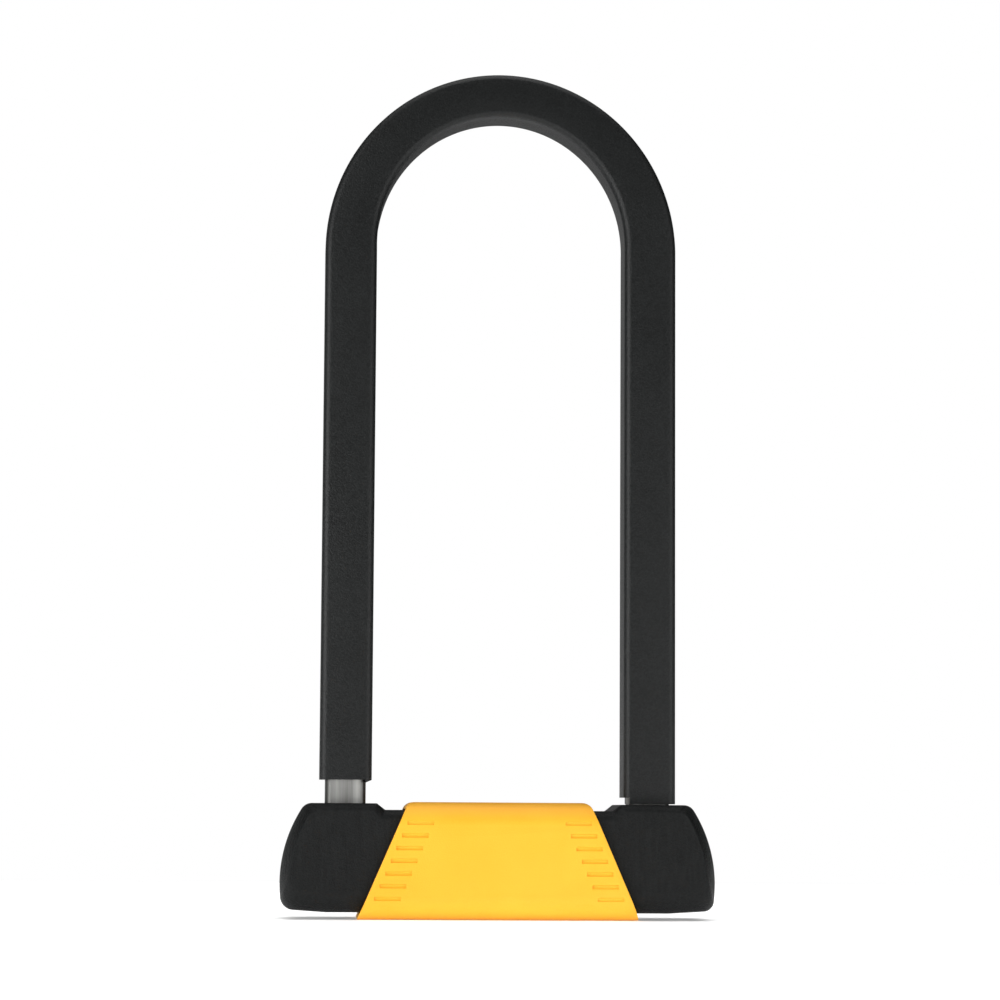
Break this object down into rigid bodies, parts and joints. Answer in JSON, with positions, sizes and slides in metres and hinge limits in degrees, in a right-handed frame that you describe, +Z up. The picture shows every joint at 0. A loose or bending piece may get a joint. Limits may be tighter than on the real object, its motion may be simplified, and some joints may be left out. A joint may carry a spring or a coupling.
{
  "type": "u lock",
  "caption": "Bicycle U lock: coated square-bar shackle on a covered crossbar with a keyed cylinder, cam plate and bolts, and a sliding dust cover.",
  "frame": {"origin": "on the surface it stands on, under the middle of the crossbar", "axes": "+Z up the shackle from crossbar to bend, +X along the crossbar to the right, +Y to the back"},
  "size_m": [0.1426, 0.0384, 0.2824],
  "materials": {
    "black_vinyl": "matte black vinyl coating with a fine grain",
    "bare_steel": "hardened steel, drawn lengthways",
    "black_plastic": "satin black moulded plastic with a fine texture",
    "yellow_plastic": "satin yellow-orange moulded plastic",
    "zinc": "die-cast zinc alloy, dull",
    "brass": "turned brass, satin",
    "black_rubber": "matte black rubber"
  },
  "bodies": {
    "crossbar": {"crossbar_tube": "bare_steel", "end_plug_left": "bare_steel", "end_plug_right": "bare_steel", "roll_pin_left": "bare_steel", "roll_pin_right": "bare_steel", "socket_block_left": "bare_steel", "socket_block_right": "bare_steel", "lock_carrier": "zinc", "cylinder_housing": "brass", "cylinder_pin": "bare_steel", "end_cover_left": "black_plastic", "end_cover_right": "black_plastic", "cover_screw_left": "bare_steel", "cover_screw_right": "bare_steel", "leg_seal_left": "black_rubber", "leg_seal_right": "black_rubber", "centre_sleeve": "yellow_plastic"},
    "cylinder_plug": {"plug": "brass", "anti_drill_disc": "bare_steel", "locking_disc_1": "brass", "locking_disc_2": "brass", "locking_disc_3": "brass", "locking_disc_4": "brass", "locking_disc_5": "brass", "locking_disc_6": "brass", "sidebar": "bare_steel", "cam_plate": "bare_steel"},
    "left_bolt": {"bolt_left": "bare_steel", "drive_pin_left": "bare_steel"},
    "right_bolt": {"bolt_right": "bare_steel", "drive_pin_right": "bare_steel"},
    "shackle": {"shackle_bar": "bare_steel", "shackle_coating": "black_vinyl"},
    "keyhole_cover": {"dust_cover": "black_plastic"}
  },
  "joints": [
    {"name": "plug_turn", "type": "hinge", "parent": "crossbar", "child": "cylinder_plug", "pos_m": [0, 0, 0.0077], "axis": [0, 0, 1], "range_deg": [0, 90]},
    {"name": "left_bolt_slide", "type": "slide", "parent": "crossbar", "child": "left_bolt", "axis": [-1, 0, 0], "range_m": [0, 0.004]},
    {"name": "right_bolt_slide", "type": "slide", "parent": "crossbar", "child": "right_bolt", "axis": [1, 0, 0], "range_m": [0, 0.004]},
    {"name": "shackle_pull", "type": "slide", "parent": "crossbar", "child": "shackle", "axis": [0, 0, 1], "range_m": [0, 0.06]},
    {"name": "dust_cover_slide", "type": "slide", "parent": "crossbar", "child": "keyhole_cover", "axis": [1, 0, 0], "range_m": [0, 0.015]}
  ],
  "couplings": [
    {"joint": "plug_turn", "follows": "left_bolt_slide", "rad_per_m": 392.7},
    {"joint": "right_bolt_slide", "follows": "left_bolt_slide", "ratio": 1}
  ]
}
